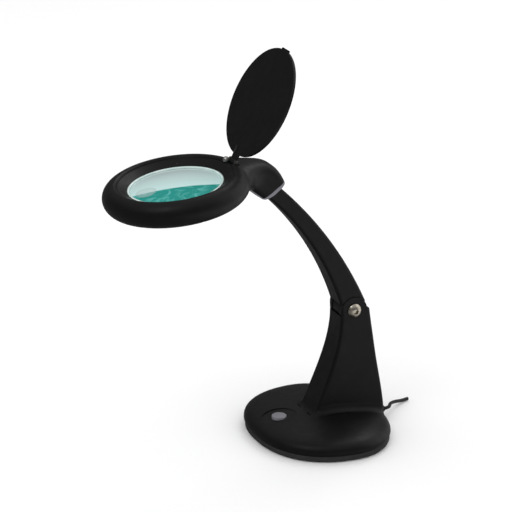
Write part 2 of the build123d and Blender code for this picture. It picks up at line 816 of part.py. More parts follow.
with BuildPart() as pivot_washers:
    for start in (-FORK_HALF + 0.05, TONGUE_HALF + 0.1):
        add(side_rod(side, PIVOT, 11.0, start, start + 1.0))
    add(side_rod(side, PIVOT, BOLT_HOLE, -THROUGH, THROUGH), mode=Mode.SUBTRACT)
save(pivot_washers, "pivot_washers")

# ---- Arm --------------------------------------------------------------------------------------

with BuildPart() as arm_form:
    extrude(arm_profile(0, ARM_LOW, ARM_HIGH), amount=ARM_HALF_LOW, both=True)
    add(arm_taper(0), mode=Mode.INTERSECT)
    fillet(arm_form.edges().filter_by(is_arm_corner), ARM_ROUNDING)
    add(side_rod(side, PIVOT, ARM_SEAT_RADIUS, -THROUGH, THROUGH), mode=Mode.SUBTRACT)

with BuildPart() as arm_room:
    extrude(arm_profile(ARM_WALL, ARM_LOW - 6, ARM_HIGH + 6), amount=ARM_HALF_LOW, both=True)
    add(arm_taper(ARM_WALL), mode=Mode.INTERSECT)

with BuildPart() as arm_cover:
    add(arm_form)
    radius = ARM_FRONT_RADIUS + ARM_COVER
    cutter = side_rod(side, ARM_FRONT_CENTRE, radius, -ARM_COVER_HALF, ARM_COVER_HALF)
    add(cutter, mode=Mode.INTERSECT)
save(arm_cover, "arm_cover")

with BuildPart() as arm_housing:
    add(arm_form)
    add(arm_room, mode=Mode.SUBTRACT)
    add(arm_cover, mode=Mode.SUBTRACT)
save(arm_housing, "arm_housing")

with BuildPart() as arm_lower_knuckle:
    extrude(arm_profile(ARM_WALL + 0.2, ARM_LOW - 2, KNUCKLE_TOP), amount=TONGUE_HALF, both=True)
    add(side_rod(side, PIVOT, TONGUE_RADIUS, -TONGUE_HALF, TONGUE_HALF))
    add(side_rod(side, PIVOT, BOLT_HOLE, -THROUGH, THROUGH), mode=Mode.SUBTRACT)
save(arm_lower_knuckle, "arm_lower_knuckle")

with BuildPart() as arm_upper_knuckle:
    neck = arm_profile(ARM_WALL + 0.2, ARM_HIGH - 24, ARM_HIGH - 1)
    extrude(neck, amount=KNUCKLE_NECK_HALF, both=True)
    with BuildSketch(head_side):
        with BuildLine():
            Polyline(
                (TILT_B - 2.6, TILT_H - 1.9),
                (TILT_B + 8.3, TILT_H - 16.3),
                (TILT_B + 13.5, TILT_H - 12.5),
                (TILT_B + 2.6, TILT_H + 1.9),
                close=True,
            )
        make_face()
    extrude(amount=KNUCKLE_NECK_HALF, both=True)
    add(side_rod(head_side, TILT, TILT_BARREL, -TILT_HALF, TILT_HALF))
    add(side_rod(head_side, TILT, AXLE_RADIUS + 0.06, -THROUGH, THROUGH), mode=Mode.SUBTRACT)
save(arm_upper_knuckle, "arm_upper_knuckle")

with BuildPart() as arm_cable:
    with BuildLine() as arm_cable_path:
        Spline(*ARM_CABLE_POINTS)
    with BuildSketch(Plane(origin=arm_cable_path.line @ 0, z_dir=arm_cable_path.line % 0)):
        Circle(CABLE_RADIUS)
    sweep(path=arm_cable_path.wires()[0])
save(arm_cable, "arm_cable")

# ---- Head -------------------------------------------------------------------------------------

ring_form = turned(ring_profile())
ring_hollow = turned(ring_hollow_profile())
hood_outer = hood_form(0)
hood_hollow = hood_form(HOOD_INSET)
arm_end_room = hood_room()

with BuildPart() as head_form:
    add(hood_outer)
    add(neck_trim_form(True), mode=Mode.SUBTRACT)
    add(ring_form)
    add(turned(bore_profile()), mode=Mode.SUBTRACT)

with BuildPart() as lower_zone:
    add(ring_form)
    add(head_block((-80, 80), (-80, 80), (PARTING, 20)), mode=Mode.SUBTRACT)
    add(head_block((-15, 15), (60.5, 80), (-40, 20)), mode=Mode.SUBTRACT)
    add(head_rods([(0, 0)], WINDOW_INNER, -30, 20), mode=Mode.SUBTRACT)

with BuildPart() as hinge_boss:
    add(head_block((-16, 11), (51.5, 66), (-2, 8)))
    add(head_form, mode=Mode.INTERSECT)

with BuildPart() as screw_posts:
    add(head_rods(HEAD_SCREWS, POST_RADIUS, PARTING, 5))
    add(ring_form, mode=Mode.INTERSECT)

with BuildPart() as bracket_seat:
    half = BRACKET_HALF + 0.1
    add(head_block((-half, half), (57.8, 63.2), (BRACKET_LOW, THROUGH)))
    add(head_block((-WING - 0.1, -BRACKET_HALF), (54.4, 60.2), (BRACKET_LOW, THROUGH)))
    leaf = LEAF_HALF + 0.3
    add(head_block((-leaf, leaf), (50, 64.2), (LID_UNDERSIDE - 0.3, THROUGH)))

with BuildPart() as axle_bore:
    half = AXLE_HALF + 0.1
    add(side_rod(head_side, TILT, AXLE_RADIUS + 0.05, -half, half))

with BuildPart() as head_upper_housing:
    add(head_form)
    add(lower_zone, mode=Mode.SUBTRACT)
    add(ring_hollow, mode=Mode.SUBTRACT)
    add(hood_hollow, mode=Mode.SUBTRACT)
    add(arm_end_room, mode=Mode.SUBTRACT)
    add(head_block((-8, 8), (58, 76), (-11, 0)), mode=Mode.SUBTRACT)
    add(hinge_boss)
    add(screw_posts)
    for place in HEAD_SCREWS:
        add(head_rods([place], HEAD_PILOT, PARTING - 1, 1), mode=Mode.SUBTRACT)
    add(bracket_seat, mode=Mode.SUBTRACT)
    add(axle_bore, mode=Mode.SUBTRACT)
    add(head_rods([HINGE_SCREW], HINGE_SCREW_SHANK + 0.05, 0, 10), mode=Mode.SUBTRACT)
save(head_upper_housing, "head_upper_housing")

with BuildPart() as head_lower_housing:
    add(lower_zone)
    add(ring_hollow, mode=Mode.SUBTRACT)
    with BuildSketch(head.offset(RING_BOTTOM - 1)):
        Circle(WINDOW_OUTER)
    extrude(amount=5, mode=Mode.SUBTRACT)
    add(head_rods(HEAD_SCREWS, HEAD_PILOT + 0.2, -20, PARTING + 1), mode=Mode.SUBTRACT)
    add(head_rods(HEAD_SCREWS, HEAD_SCREW_HEAD + 0.2, -20, -14.6), mode=Mode.SUBTRACT)
save(head_lower_housing, "head_lower_housing")

with BuildPart() as head_screws:
    add(head_rods(HEAD_SCREWS, HEAD_SCREW_HEAD, -15.8, -14.65))
    add(head_rods(HEAD_SCREWS, HEAD_PILOT - 0.1, -15.0, 0))
save(head_screws, "head_screws")

with BuildPart() as magnifier_lens:
    with BuildSketch(head_side):
        with BuildLine():
            top = ThreePointArc(
                (0, LENS_TOP + LENS_SAG),
                (LENS_RADIUS / 2, LENS_TOP + LENS_HALFWAY),
                (LENS_RADIUS, LENS_TOP),
            )
            low = ThreePointArc(
                (LENS_RADIUS, LENS_TOP - LENS_EDGE),
                (LENS_RADIUS / 2, LENS_TOP - LENS_EDGE - LENS_HALFWAY),
                (0, LENS_TOP - LENS_EDGE - LENS_SAG),
            )
            Line(top @ 1, low @ 0)
            Line(low @ 1, top @ 0)
        make_face()
    revolve(axis=head_axis)
save(magnifier_lens, "magnifier_lens")

with BuildPart() as bifocal_lens:
    add(head_rods([(0, -BIFOCAL_OFFSET)], BIFOCAL_RADIUS, -9.2, -4.5))
    fillet(bifocal_lens.faces().sort_by(Axis.Z)[0].edges(), 1.0)
    add(magnifier_lens, mode=Mode.SUBTRACT)
save(bifocal_lens, "bifocal_lens")

with BuildPart() as lens_retaining_ring:
    with BuildSketch(head.offset(LENS_TOP - LENS_EDGE - 4.2)):
        Circle(BORE_RADIUS - 0.05)
        Circle(LENS_VISIBLE_RADIUS - 0.6, mode=Mode.SUBTRACT)
    extrude(amount=3.6)
save(lens_retaining_ring, "lens_retaining_ring")

with BuildPart() as led_board:
    with BuildSketch(head.offset(LED_HEIGHT)):
        Circle(58.6)
        Circle(49.1, mode=Mode.SUBTRACT)
    extrude(amount=1.6)
save(led_board, "led_board")

with BuildPart() as leds:
    with BuildSketch(head.offset(LED_HEIGHT - 1.2)):
        with PolarLocations(LED_RING_RADIUS, LED_COUNT):
            Rectangle(3.2, 2.8)
    extrude(amount=1.2)
save(leds, "leds")

with BuildPart() as diffuser_ring:
    with BuildSketch(head.offset(-16.4)):
        Circle(WINDOW_OUTER - 0.1)
        Circle(WINDOW_INNER + 0.1, mode=Mode.SUBTRACT)
    extrude(amount=2.5)
    with BuildSketch(head.offset(-14.4)):
        Circle(WINDOW_OUTER + 1.0)
        Circle(WINDOW_INNER - 1.2, mode=Mode.SUBTRACT)
    extrude(amount=1.2)
save(diffuser_ring, "diffuser_ring")

with BuildPart() as neck_cover:
    add(hood_outer)
    add(neck_trim_form(False), mode=Mode.INTERSECT)
    with BuildSketch(head_side):
        with BuildLine():
            Polyline((82.1, -31.2), (103.0, -20.7), (105.0, -25.0), (84.1, -35.5), close=True)
        make_face()
    extrude(amount=ARM_HALF_TOP + 0.35, both=True, mode=Mode.SUBTRACT)
save(neck_cover, "neck_cover")

with BuildPart() as tilt_axle:
    add(side_rod(head_side, TILT, AXLE_RADIUS, -AXLE_HALF, AXLE_HALF))
    chamfer(tilt_axle.edges().filter_by(GeomType.CIRCLE), 0.4)
save(tilt_axle, "tilt_axle")

with BuildPart() as tilt_washers:
    for start in (-TILT_HALF - 1.6, TILT_HALF + 0.1):
        add(side_rod(head_side, TILT, 6.5, start, start + 1.5))
    add(side_rod(head_side, TILT, AXLE_RADIUS + 0.05, -THROUGH, THROUGH), mode=Mode.SUBTRACT)
save(tilt_washers, "tilt_washers")

# ---- Lid and its hinge ------------------------------------------------------------------------

with BuildPart() as lid_hinge_bracket:
    floor = BRACKET_LOW + 0.05
    add(head_block((-BRACKET_HALF, BRACKET_HALF), BRACKET_SPAN, (floor, BRACKET_LOW + 1.4)))
    add(head_block((-WING, -BRACKET_HALF), (54.6, 60.0), (floor, WING_TOP)))
    for start in (-BRACKET_HALF, LEAF_HALF + 0.15):
        add(side_rod(head_side, HINGE, HINGE_KNUCKLE, start, start + BRACKET_EAR))
        add(head_block((start, start + BRACKET_EAR), BRACKET_SPAN, (floor, HINGE_H)))
    add(side_rod(head_side, HINGE, HINGE_PIN + 0.05, -THROUGH, THROUGH), mode=Mode.SUBTRACT)
    add(head_rods([HINGE_SCREW], HINGE_SCREW_SHANK + 0.05, 0, 10), mode=Mode.SUBTRACT)
save(lid_hinge_bracket, "lid_hinge_bracket")

with BuildPart() as lid_hinge_pin:
    add(side_rod(head_side, HINGE, HINGE_PIN, -BRACKET_HALF, BRACKET_HALF))
save(lid_hinge_pin, "lid_hinge_pin")

with BuildPart() as lid_hinge_screw:
    add(head_rods([HINGE_SCREW], HINGE_SCREW_SHANK, 1.0, WING_TOP + 0.5))
    add(head_rods([HINGE_SCREW], HINGE_SCREW_HEAD, WING_TOP + 0.05, WING_TOP + 1.9))
    fillet(lid_hinge_screw.faces().sort_by(Axis.Z)[-1].edges(), 1.2)
save(lid_hinge_screw, "lid_hinge_screw")

with BuildPart() as lens_lid:
    with BuildSketch(lid.offset(LID_UNDERSIDE - HINGE_H)):
        with Locations((0, -HINGE_B)):
            Circle(LID_RADIUS)
    extrude(amount=LID_THICKNESS)
    with BuildSketch(lid.offset(LID_UNDERSIDE - HINGE_H + LID_THICKNESS)):
        with Locations((0, -HINGE_B - LID_RADIUS + TAB_WIDTH / 4)):
            RectangleRounded(TAB_WIDTH, TAB_WIDTH / 2 + 2 * TAB_REACH, 1.5)
    extrude(amount=-TAB_THICKNESS)
    with BuildSketch(lid.offset(LID_UNDERSIDE - HINGE_H)):
        with Locations((0, -5.0)):
            Rectangle(2 * LEAF_HALF, 10.0)
    extrude(amount=LID_THICKNESS)
    add(side_rod(lid_side, (0, 0), HINGE_KNUCKLE, -LEAF_HALF, LEAF_HALF))
    add(side_rod(lid_side, (0, 0), HINGE_PIN + 0.05, -THROUGH, THROUGH), mode=Mode.SUBTRACT)
save(lens_lid, "lens_lid")
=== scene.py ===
"""Magnifying lamp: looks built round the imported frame. Metres, +Z up, the user sits on the -Y side."""
import json
import math

import bmesh
import bpy
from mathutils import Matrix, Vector


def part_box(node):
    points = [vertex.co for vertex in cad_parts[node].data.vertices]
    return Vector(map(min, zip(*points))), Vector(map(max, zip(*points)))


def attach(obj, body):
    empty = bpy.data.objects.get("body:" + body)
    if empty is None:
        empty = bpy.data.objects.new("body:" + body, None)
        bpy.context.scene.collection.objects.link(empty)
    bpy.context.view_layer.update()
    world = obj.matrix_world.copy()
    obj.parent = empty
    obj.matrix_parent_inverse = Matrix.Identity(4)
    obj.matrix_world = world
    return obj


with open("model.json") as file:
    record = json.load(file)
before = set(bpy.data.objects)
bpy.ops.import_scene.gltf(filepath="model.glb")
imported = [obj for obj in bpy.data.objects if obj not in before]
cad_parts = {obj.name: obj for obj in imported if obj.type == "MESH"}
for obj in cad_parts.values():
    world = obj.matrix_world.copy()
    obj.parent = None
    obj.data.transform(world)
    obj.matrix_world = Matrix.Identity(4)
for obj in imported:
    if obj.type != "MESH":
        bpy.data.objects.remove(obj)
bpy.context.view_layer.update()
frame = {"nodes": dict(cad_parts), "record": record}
nodes = frame["nodes"]

# The head leans towards the user: x runs across, back to the rear, up along the lens axis.
PITCH = math.radians(7.5)
ACROSS = Vector((1, 0, 0))
LENS_BACK = Vector((0, math.cos(PITCH), math.sin(PITCH)))
LENS_AXIS = Vector((0, -math.sin(PITCH), math.cos(PITCH)))

# ---- Node-material helpers ---------------------------------------------------------------------


class Nodes:
    """A small wrapper that adds and links shader nodes of one material."""

    def __init__(self, name):
        self.material = bpy.data.materials.new(name)
        self.material.use_nodes = True
        self.tree = self.material.node_tree
        self.tree.nodes.clear()
        self.output = self.add("ShaderNodeOutputMaterial")
        self.shader = self.add("ShaderNodeBsdfPrincipled")
        self.link(self.shader.outputs[0], self.output.inputs[0])

    def add(self, kind, **settings):
        """A new node of this kind, with its settings."""
        node = self.tree.nodes.new(kind)
        for key, value in settings.items():
            setattr(node, key, value)
        return node

    def link(self, source, target):
        self.tree.links.new(source, target)

    def feed(self, value, socket):
        """Links an output to a socket, or writes a plain value into it."""
        if hasattr(value, "is_linked"):
            self.link(value, socket)
        else:
            socket.default_value = value

    def set(self, **values):
        for key, value in values.items():
            self.shader.inputs[key.replace("_", " ")].default_value = value

    def place(self):
        """The point's position in the object's own frame, in metres."""
        return self.add("ShaderNodeTexCoord").outputs["Object"]

    def noise(self, scale, detail=2.0, distortion=0.0):
        """A cloudy 0-1 value with so many cells to the metre."""
        node = self.add("ShaderNodeTexNoise")
        node.inputs["Scale"].default_value = scale
        node.inputs["Detail"].default_value = detail
        node.inputs["Distortion"].default_value = distortion
        self.link(self.place(), node.inputs["Vector"])
        return node.outputs["Fac"]

    def spread(self, source, low, high, start=0.35, end=0.65):
        """Maps a value's stretch from start to end onto low to high."""
        node = self.add("ShaderNodeMapRange")
        node.inputs["From Min"].default_value = start
        node.inputs["From Max"].default_value = end
        node.inputs["To Min"].default_value = low
        node.inputs["To Max"].default_value = high
        self.link(source, node.inputs["Value"])
        return node.outputs["Result"]

    def mix(self, factor, first, second):
        """Mixes two colours, or two colour outputs."""
        node = self.add("ShaderNodeMix", data_type="RGBA")
        self.feed(factor, node.inputs[0])
        self.feed(first, node.inputs[6])
        self.feed(second, node.inputs[7])
        return node.outputs[2]

    def math(self, operation, first, second=0.0, third=0.0):
        """One arithmetic node on numbers or outputs."""
        node = self.add("ShaderNodeMath", operation=operation)
        for value, socket in zip((first, second, third), node.inputs):
            self.feed(value, socket)
        return node.outputs[0]

    def along(self, origin, direction):
        """How far a point lies from origin along a direction, in metres."""
        shift = self.add("ShaderNodeVectorMath", operation="SUBTRACT")
        shift.inputs[1].default_value = origin
        self.link(self.place(), shift.inputs[0])
        dot = self.add("ShaderNodeVectorMath", operation="DOT_PRODUCT")
        dot.inputs[1].default_value = direction
        self.link(shift.outputs[0], dot.inputs[0])
        return dot.outputs["Value"]

    def bump(self, height, strength, distance, before=None):
        """A normal raised by height, on top of the normal before it."""
        node = self.add("ShaderNodeBump")
        node.inputs["Strength"].default_value = strength
        node.inputs["Distance"].default_value = distance
        self.link(height, node.inputs["Height"])
        if before is not None:
            self.link(before, node.inputs["Normal"])
        return node.outputs["Normal"]

    def wear(self, radius=0.0008, width=0.35):
        """1 on sharp edges, 0 elsewhere, from the difference between true and bevelled normals."""
        bevel = self.add("ShaderNodeBevel", samples=4)
        bevel.inputs["Radius"].default_value = radius
        geometry = self.add("ShaderNodeNewGeometry")
        dot = self.add("ShaderNodeVectorMath", operation="DOT_PRODUCT")
        self.link(bevel.outputs["Normal"], dot.inputs[0])
        self.link(geometry.outputs["Normal"], dot.inputs[1])
        return self.spread(dot.outputs["Value"], 1.0, 0.0, 1.0 - width, 0.995)


def grey(level):
    return (level, level, level, 1)


# How much of the lighter colour a worn edge takes. Noise scales are cells to the metre, and
# bump distances are metres.
EDGE_WEAR = 0.55


def moulded_plastic(
    name, colour, lighter, roughness=(0.40, 0.48), grain=0.2, tint=0.3, specular=0.2
):
    """Spark-eroded moulded plastic: fine grain, slight mottling, paler worn edges."""
    m = Nodes(name)
    mottle = m.spread(m.noise(55, 4), 0.0, tint)
    base = m.mix(mottle, colour, lighter)
    worn = m.math("MULTIPLY", m.wear(), EDGE_WEAR)
    m.link(m.mix(worn, base, lighter), m.shader.inputs["Base Color"])
    m.link(m.spread(m.noise(130, 3), *roughness), m.shader.inputs["Roughness"])
    fine = m.bump(m.noise(2600, 2), grain, 0.00006)
    m.link(m.bump(m.noise(420, 3), 0.12, 0.00025, fine), m.shader.inputs["Normal"])
    m.set(Specular_IOR_Level=specular)
    return m.material


def metal(name, colour, roughness, scratches=0.1):
    """Plated steel with fine scratches and cloudy patches."""
    m = Nodes(name)
    cloud = m.spread(m.noise(240, 4), 0.0, 1.0)
    dark = tuple(0.78 * c for c in colour[:3]) + (1.0,)
    m.link(m.mix(cloud, colour, dark), m.shader.inputs["Base Color"])
    m.link(m.spread(m.noise(900, 3), *roughness), m.shader.inputs["Roughness"])
    m.link(m.bump(m.noise(3200, 2), scratches, 0.00005), m.shader.inputs["Normal"])
    m.set(Metallic=1.0)
    return m.material


BLACK = (0.0030, 0.0031, 0.0029, 1)
BLACK_LIGHT = (0.0062, 0.0062, 0.0060, 1)
BOARD = (0.01, 0.09, 0.03, 1)
BOARD_LIGHT = (0.02, 0.14, 0.05, 1)

materials = {
    "black_housing": moulded_plastic("black_housing", BLACK, BLACK_LIGHT),
    "dark_plate": moulded_plastic("dark_plate", grey(0.020), grey(0.05), (0.5, 0.65)),
    "grey_trim": moulded_plastic("grey_trim", (0.17, 0.17, 0.19, 1), (0.22, 0.22, 0.25, 1)),
    "rubber": moulded_plastic("rubber", grey(0.012), grey(0.03), (0.75, 0.9), 0.5),
    "cable_sheath": moulded_plastic("cable_sheath", grey(0.014), grey(0.03), (0.45, 0.6), 0.4),
    "zinc_screw": metal("zinc_screw", (0.55, 0.55, 0.53, 1), (0.25, 0.42), 0.2),
    "bright_bolt": metal("bright_bolt", (0.60, 0.55, 0.46, 1), (0.2, 0.34)),
    "dark_metal": metal("dark_metal", (0.13, 0.13, 0.125, 1), (0.32, 0.46), 0.2),
    "cast_ballast": metal("cast_ballast", (0.10, 0.10, 0.10, 1), (0.6, 0.8), 0.8),
    "nylon": moulded_plastic("nylon", grey(0.6), grey(0.72), (0.4, 0.5)),
    "circuit_board": moulded_plastic("circuit_board", BOARD, BOARD_LIGHT, (0.25, 0.35)),
    "led": moulded_plastic("led", (0.85, 0.8, 0.5, 1), (0.95, 0.93, 0.8, 1), (0.3, 0.4)),
    "diffuser": moulded_plastic("diffuser", grey(0.75), grey(0.85), (0.35, 0.45)),
}


def middle(box):
    """Halfway between a box's two corners."""
    low, high = box
    return (low + high) / 2


LENS_CENTRE = middle(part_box("magnifier_lens"))
# The line between the glass's two tones, the edge of a painted reflection, runs square to this
# direction, so far from the middle.
LENS_LINE_ACROSS = 0.941
LENS_LINE_BACK = -0.338
LENS_LINE = 0.0116
LENS_FAR_EDGE = -0.040
LINE_WOBBLE = 0.0016
LINE_WIDTH = 0.0012
SMALL_BLUR = 0.0022
SMALL_RIM_START = 0.0026
SMALL_RIM_END = 0.0008
# Painted reflection colours: the room mirrored in the glass, from its far edge up to the line; beyond
# the line the glass is teal.
REFLECTION_FAR = (0.47, 0.56, 0.56, 1)
REFLECTION_NEAR = (0.60, 0.83, 0.81, 1)
TEAL = (0.012, 0.29, 0.25, 1)
TEAL_LIGHT = (0.09, 0.45, 0.41, 1)
SMALL_RIM = (0.26, 0.36, 0.35, 1)


def lens_glass(name):
    """Magnifier glass with a painted reflection: pale where it mirrors the room, teal with wisps beyond
    a straight line.
    """
    m = Nodes(name)
    toward = m.along(LENS_CENTRE, LENS_LINE_ACROSS * ACROSS + LENS_LINE_BACK * LENS_BACK)
    wobble = m.math("MULTIPLY_ADD", m.noise(45, 1), LINE_WOBBLE, toward)
    teal = m.spread(wobble, 0.0, 1.0, LENS_LINE, LENS_LINE + LINE_WIDTH)
    # Painted reflection: the pale tone, lighter towards the line, stands for the room mirrored in the
    # glass.
    pale = m.mix(m.spread(toward, 0.0, 1.0, LENS_FAR_EDGE, LENS_LINE), REFLECTION_FAR, REFLECTION_NEAR)
    wisp = m.spread(m.noise(60, distortion=1.6), 0.0, 1.0, 0.50, 0.66)
    colour = m.mix(teal, pale, m.mix(wisp, TEAL, TEAL_LIGHT))
    # The small strong lens under the glass shows through as a disc with a soft dark rim.
    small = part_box("bifocal_lens")
    edge = (small[1].x - small[0].x) / 2
    x = m.along(middle(small), ACROSS)
    b = m.along(middle(small), LENS_BACK)
    radius = m.math("SQRT", m.math("ADD", m.math("MULTIPLY", x, x), m.math("MULTIPLY", b, b)))
    inside = m.spread(radius, 1.0, 0.0, edge - SMALL_BLUR, edge)
    outer = m.spread(radius, 0.0, 0.5, edge - SMALL_RIM_START, edge - SMALL_RIM_END)
    disc = m.mix(m.math("MULTIPLY", inside, 0.45), colour, REFLECTION_FAR)
    rim = m.math("MULTIPLY", outer, inside)
    m.link(m.mix(rim, disc, SMALL_RIM), m.shader.inputs["Base Color"])
    m.set(Roughness=0.05, IOR=1.5, Specular_IOR_Level=0.35, Transmission_Weight=0.12)
    return m.material


materials["optical_glass"] = lens_glass("optical_glass")
# The edge band's pale colour is a painted highlight where the glass's edge catches the light.
materials["lens_edge"] = moulded_plastic(
    "lens_edge", (0.55, 0.72, 0.68, 1), (0.75, 0.85, 0.83, 1), (0.12, 0.2), 0.02, 1.0, 0.5
)
# The lid's hinge is shown as dull dark metal, which isn't the slot its two nodes have in the record.
SHOWN_AS = {"lid_hinge_pin": "dark_metal", "lid_hinge_bracket": "dark_metal"}
slots = {part["node"]: part["material_slot"] for part in frame["record"]["subparts"]}
for name, obj in nodes.items():
    obj.data.materials.clear()
    obj.data.materials.append(materials[SHOWN_AS.get(name, slots[name])])


# Faces this near to flat are merged, and edges sharper than the second angle are rounded.
FLAT_DEGREES = 0.6
SHARP_DEGREES = 32


def soften(obj, width):
    """Rounds a CAD node's sharp edges with modifiers, which leave its mesh as it is."""
    flat = obj.modifiers.new("flat", "DECIMATE")
    flat.decimate_type = "DISSOLVE"
    flat.angle_limit = math.radians(FLAT_DEGREES)
    edge = obj.modifiers.new("edge", "BEVEL")
    edge.width = width
    edge.segments = 2
    edge.limit_method = "ANGLE"
    edge.angle_limit = math.radians(SHARP_DEGREES)
    edge.use_clamp_overlap = False
    edge.harden_normals = True


SOFT_EDGES = {
    "base_cover": 0.0005,
    "column_left": 0.0005,
    "column_right": 0.0005,
    "arm_housing": 0.0004,
    "head_upper_housing": 0.0005,
    "neck_cover": 0.0004,
    "lens_lid": 0.0005,
    "lid_hinge_bracket": 0.0003,
    "pivot_bolt": 0.0003,
}
for name, width in SOFT_EDGES.items():
    soften(nodes[name], width)

# ---- Pieces modelled here ----------------------------------------------------------------------


def on_head(x, back, up):
    """A point in the head's frame, from the middle of the lens."""
    return LENS_CENTRE + x * ACROSS + back * LENS_BACK + up * LENS_AXIS


def mesh_piece(name, verts, faces, body, slot):
    """A closed mesh with its faces turned outward, riding on a body."""
    mesh = bpy.data.meshes.new(name)
    mesh.from_pydata([tuple(v) for v in verts], [], faces)
    shell = bmesh.new()
    shell.from_mesh(mesh)
    bmesh.ops.recalc_face_normals(shell, faces=shell.faces)
    shell.to_mesh(mesh)
    shell.free()
    mesh.update()
    for polygon in mesh.polygons:
        polygon.use_smooth = True
    obj = bpy.data.objects.new(name, mesh)
    bpy.context.scene.collection.objects.link(obj)
    mesh.materials.append(materials[slot])
    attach(obj, body)
    return obj


def turned_piece(name, profile, body, slot, steps=144):
    """A closed section of (radius, height) points turned about the lens axis."""
    verts, faces, count = [], [], len(profile)
    for step in range(steps):
        angle = 2 * math.pi * step / steps
        for radius, height in profile:
            verts.append(on_head(radius * math.cos(angle), radius * math.sin(angle), height))
        for i in range(count):
            j = (i + 1) % count
            after = ((step + 1) % steps) * count
            faces.append((step * count + i, after + i, after + j, step * count + j))
    return mesh_piece(name, verts, faces, body, slot)


def dome_piece(name, radius, low, high, body, slot, place, steps=32, rings=8):
    """A closed dome with a flat foot at low and its crown at high."""
    verts, faces = [place(0, 0, low), place(0, 0, high)], []
    for ring in range(rings):
        turn = math.pi / 2 * ring / rings
        height = low + (high - low) * math.sin(turn)
        reach = radius * math.cos(turn)
        for step in range(steps):
            angle = 2 * math.pi * step / steps
            verts.append(place(reach * math.cos(angle), reach * math.sin(angle), height))
    crown = 2 + (rings - 1) * steps
    for step in range(steps):
        after = (step + 1) % steps
        faces.append((0, 2 + after, 2 + step))
        faces.append((1, crown + step, crown + after))
        for ring in range(rings - 1):
            start, above = 2 + ring * steps, 2 + (ring + 1) * steps
            faces.append((start + step, start + after, above + after, above + step))
    return mesh_piece(name, verts, faces, body, slot)


def from_place(frame_point, place):
    """Moves a frame's point function so that it counts from a place in that frame."""
    return lambda x, out, up: frame_point(x + place[0], out + place[1], up)


# A small dome's place counts across and back, and its foot and top are heights above it.
STUD = (-0.0095, 0.0567)
STUD_RADIUS = 0.0034
STUD_FOOT, STUD_TOP = 0.0094, 0.0136
on_stud = from_place(on_head, STUD)
dome_piece("hinge_stud", STUD_RADIUS, STUD_FOOT, STUD_TOP, "head", "zinc_screw", on_stud)

RIVET = (-0.0440, 0.0202)
RIVET_RADIUS = 0.0011
RIVET_FOOT, RIVET_TOP = 0.0044, 0.0062
on_cone = from_place(on_head, RIVET)
dome_piece("cone_rivet", RIVET_RADIUS, RIVET_FOOT, RIVET_TOP, "head", "dark_plate", on_cone)

# At rest the lid stands open, so its frame is turned back about the hinge.
LID_OPEN = math.radians(125)
LID_TURN = PITCH - LID_OPEN
LID_OUT = Vector((0, math.cos(LID_TURN), math.sin(LID_TURN)))
LID_UP = Vector((0, -math.sin(LID_TURN), math.cos(LID_TURN)))
# The hinge's height counts from the lens opening's rim, which lies above the glass's middle.
RIM_ABOVE_MIDDLE = 0.00305
HINGE_BACK, HINGE_HEIGHT = 0.0605, 0.0076
HINGE_LINE = on_head(0, HINGE_BACK, HINGE_HEIGHT + RIM_ABOVE_MIDDLE)
LID_INNER = -0.0017


def on_lid(x, out, up):
    """A point in the lid's frame, from the middle of its hinge."""
    return HINGE_LINE + x * ACROSS + out * LID_OUT + up * LID_UP


PIP = (0.0051, -0.0610)
PIP_RADIUS = 0.0008
PIP_FOOT, PIP_TOP = LID_INNER + 0.0002, LID_INNER - 0.0003
on_pip = from_place(on_lid, PIP)
dome_piece("lid_pip", PIP_RADIUS, PIP_FOOT, PIP_TOP, "lid", "black_housing", on_pip)


def plate(name, outline, low, high, body, slot, place):
    """A flat plate of any outline, between two heights."""
    count = len(outline)
    verts = [place(x, y, h) for h in (low, high) for x, y in outline]
    sides = [(i, (i + 1) % count, count + (i + 1) % count, count + i) for i in range(count)]
    faces = [tuple(reversed(range(count))), tuple(range(count, 2 * count)), *sides]
    obj = mesh_piece(name, verts, faces, body, slot)
    for polygon in obj.data.polygons:
        polygon.use_smooth = False
    return obj


def rounded(left, right, near, far, radius, points=6):
    """A rectangle with round corners, anticlockwise."""
    corners = [(right, far, 0), (left, far, 90), (left, near, 180), (right, near, 270)]
    outline = []
    for x, y, start in corners:
        cx = x - radius if x == right else x + radius
        cy = y - radius if y == far else y + radius
        for step in range(points + 1):
            turn = math.radians(start + 90 * step / points)
            outline.append((cx + radius * math.cos(turn), cy + radius * math.sin(turn)))
    return outline


LEAF = rounded(left=-0.0048, right=-0.0014, near=-0.0150, far=-0.0075, radius=0.0012)
LEAF_LOW, LEAF_HIGH = LID_INNER - 0.0005, LID_INNER + 0.0001
plate("hinge_leaf", LEAF, LEAF_LOW, LEAF_HIGH, "lid", "dark_metal", on_lid)

# A painted highlight on the glass's edge: a narrow pale band whose inner side leans outward as it rises.
EDGE_LOW, EDGE_HIGH = 0.0017, 0.0034
EDGE_INNER, EDGE_INNER_TOP, EDGE_OUTER = 0.0430, 0.0434, 0.0452
EDGE_BAND = [
    (EDGE_INNER, EDGE_LOW),
    (EDGE_OUTER, EDGE_LOW),
    (EDGE_OUTER, EDGE_HIGH),
    (EDGE_INNER_TOP, EDGE_HIGH),
]
turned_piece("lens_edge", EDGE_BAND, "head", "lens_edge")

# ---- Stage, light and camera -------------------------------------------------------------------

FLOOR_SIZE = 8
FLOOR_REARWARD = (0.5, 0.86, 0)
FLOOR_FRONT, FLOOR_REAR = -0.05, 0.30
FLOOR_IN_GLOSS = (0.16, 0.80)


